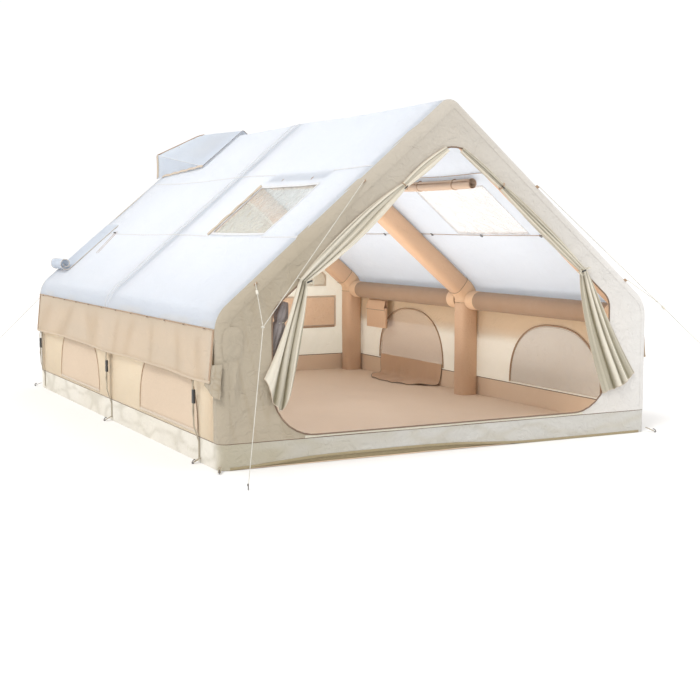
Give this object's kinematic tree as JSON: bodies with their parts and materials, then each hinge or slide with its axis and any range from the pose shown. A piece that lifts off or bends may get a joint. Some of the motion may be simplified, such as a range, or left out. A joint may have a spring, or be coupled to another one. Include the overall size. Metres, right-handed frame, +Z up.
{
  "type": "inflatable tent",
  "caption": "Ridge tent on inflatable arches and purlins, with roof skylights, arched side windows, tied door curtains, a rear ridge vent, guy lines and buckles.",
  "frame": {"origin": "middle of the tent body's footprint, at the underside of the floor", "axes": "+X to the right as seen from the front door, +Y from the front door to the back wall along the ridge, +Z up"},
  "size_m": [4.576, 4.7872, 2.1692],
  "materials": {
    "roof_cloth": "coated woven polyester, near-white, matte",
    "sleeve_cloth": "woven polycotton, beige, matte",
    "wall_cloth": "woven polycotton, cream, matte",
    "curtain_cloth": "light woven cloth, grey beige, matte",
    "floor_cloth": "coated groundsheet cloth, pinkish tan, slight sheen",
    "beam_cloth": "woven sleeve over an inflated bladder, tan, matte",
    "window_net": "fine insect net, matte",
    "skylight_film": "clear flexible film, glossy",
    "webbing": "woven polyester webbing, cream",
    "grey_plastic": "moulded plastic, satin",
    "black_plastic": "moulded acetal, satin black",
    "guy_cord": "braided cord, off-white",
    "peg_steel": "bent steel wire, dark"
  },
  "bodies": {
    "tent": {"floor_tub": "floor_cloth", "arch_front": "beam_cloth", "arch_middle": "beam_cloth", "arch_back": "beam_cloth", "purlin_front_left": "beam_cloth", "purlin_front_right": "beam_cloth", "purlin_back_left": "beam_cloth", "purlin_back_right": "beam_cloth", "front_sleeve": "sleeve_cloth", "wall_back": "wall_cloth", "wall_left": "wall_cloth", "wall_right": "wall_cloth", "roof_left": "roof_cloth", "roof_right": "roof_cloth", "gable_mesh": "window_net", "back_window_panel": "window_net", "window_mesh_left_front": "window_net", "window_mesh_left_back": "window_net", "window_mesh_right_front": "window_net", "window_mesh_right_back": "window_net", "window_cover_right_back": "floor_cloth", "skylight_film_left": "skylight_film", "skylight_film_right": "skylight_film", "skylight_roll_left": "wall_cloth", "skylight_roll_right": "wall_cloth", "vent_mesh": "window_net", "vent_hood": "roof_cloth", "curtain_left": "curtain_cloth", "curtain_right": "curtain_cloth", "curtain_tie_left": "webbing", "curtain_tie_right": "webbing", "storage_pocket": "beam_cloth", "valve_body": "grey_plastic", "guy_left_short": "guy_cord", "guy_left_long": "guy_cord", "guy_left_main": "guy_cord", "guy_right_main": "guy_cord", "guy_right_short": "guy_cord", "guy_rear": "guy_cord", "guy_knot_left": "guy_cord", "peg_left": "peg_steel", "peg_right": "peg_steel", "peg_rear": "peg_steel"},
    "cover_left_front": {"window_cover_left_front": "wall_cloth"},
    "cover_left_back": {"window_cover_left_back": "wall_cloth"},
    "cover_right_front": {"window_cover_right_front": "wall_cloth"},
    "valve_flap": {"valve_flap": "sleeve_cloth"},
    "valve_cap": {"valve_cap": "grey_plastic"},
    "valve_plunger": {"valve_plunger": "black_plastic"},
    "pocket_flap": {"pocket_flap": "beam_cloth"},
    "vent_prop": {"vent_prop": "grey_plastic"},
    "rear_flap": {"rear_flap": "roof_cloth"},
    "plug_left_front": {"buckle_plug_left_front": "black_plastic"},
    "plug_left_middle": {"buckle_plug_left_middle": "black_plastic"},
    "plug_left_back": {"buckle_plug_left_back": "black_plastic"},
    "plug_right_front": {"buckle_plug_right_front": "black_plastic"},
    "plug_right_middle": {"buckle_plug_right_middle": "black_plastic"},
    "plug_right_back": {"buckle_plug_right_back": "black_plastic"},
    "runner_left": {"runner_left": "black_plastic"},
    "runner_right": {"runner_right": "black_plastic"}
  },
  "joints": [
    {"name": "cover_left_front_open", "type": "hinge", "parent": "tent", "child": "cover_left_front", "pos_m": [-1.4954, -1.21, 0.168], "axis": [0, 1, 0], "range_deg": [0, 105]},
    {"name": "cover_left_back_open", "type": "hinge", "parent": "tent", "child": "cover_left_back", "pos_m": [-1.4954, 0.84, 0.168], "axis": [0, 1, 0], "range_deg": [0, 105]},
    {"name": "cover_right_front_open", "type": "hinge", "parent": "tent", "child": "cover_right_front", "pos_m": [1.4954, -1.08, 0.168], "axis": [0, -1, 0], "range_deg": [0, 105]},
    {"name": "valve_flap_lift", "type": "hinge", "parent": "tent", "child": "valve_flap", "pos_m": [-1.417, -2.1033, 0.805], "axis": [-1, 0, 0], "range_deg": [0, 120]},
    {"name": "valve_cap_turn", "type": "hinge", "parent": "tent", "child": "valve_cap", "pos_m": [-1.417, -2.1063, 0.74], "axis": [0, -1, 0], "range_deg": [0, 90]},
    {"name": "valve_plunger_press", "type": "slide", "parent": "tent", "child": "valve_plunger", "axis": [0, 1, 0], "range_m": [0, 0.004], "stiffness_N_per_m": 200, "springref_m": -0.004},
    {"name": "pocket_flap_lift", "type": "hinge", "parent": "tent", "child": "pocket_flap", "pos_m": [1.4192, 1.515, 0.6797], "axis": [0, 1, 0], "range_deg": [0, 80]},
    {"name": "vent_prop_fold", "type": "hinge", "parent": "tent", "child": "vent_prop", "pos_m": [-0.25, 2.065, 2.03298], "axis": [-1, 0, 0], "range_deg": [0, 60]},
    {"name": "rear_flap_lift", "type": "hinge", "parent": "tent", "child": "rear_flap", "pos_m": [-0.9123, 1.865, 1.3603], "axis": [0, 1, 0], "range_deg": [0, 85]},
    {"name": "plug_left_front_pull", "type": "slide", "parent": "tent", "child": "plug_left_front", "axis": [0, 0, -1], "range_m": [0, 0.03]},
    {"name": "plug_left_middle_pull", "type": "slide", "parent": "tent", "child": "plug_left_middle", "axis": [0, 0, -1], "range_m": [0, 0.03]},
    {"name": "plug_left_back_pull", "type": "slide", "parent": "tent", "child": "plug_left_back", "axis": [0, 0, -1], "range_m": [0, 0.03]},
    {"name": "plug_right_front_pull", "type": "slide", "parent": "tent", "child": "plug_right_front", "axis": [0, 0, -1], "range_m": [0, 0.03]},
    {"name": "plug_right_middle_pull", "type": "slide", "parent": "tent", "child": "plug_right_middle", "axis": [0, 0, -1], "range_m": [0, 0.03]},
    {"name": "plug_right_back_pull", "type": "slide", "parent": "tent", "child": "plug_right_back", "axis": [0, 0, -1], "range_m": [0, 0.03]},
    {"name": "runner_left_slide", "type": "slide", "parent": "tent", "child": "runner_left", "axis": [-0.0521, -0.5033, -0.8625], "range_m": [-0.03, 0.15]},
    {"name": "runner_right_slide", "type": "slide", "parent": "tent", "child": "runner_right", "axis": [0.7084, -0.2136, -0.6727], "range_m": [-0.02, 0.3]}
  ]
}
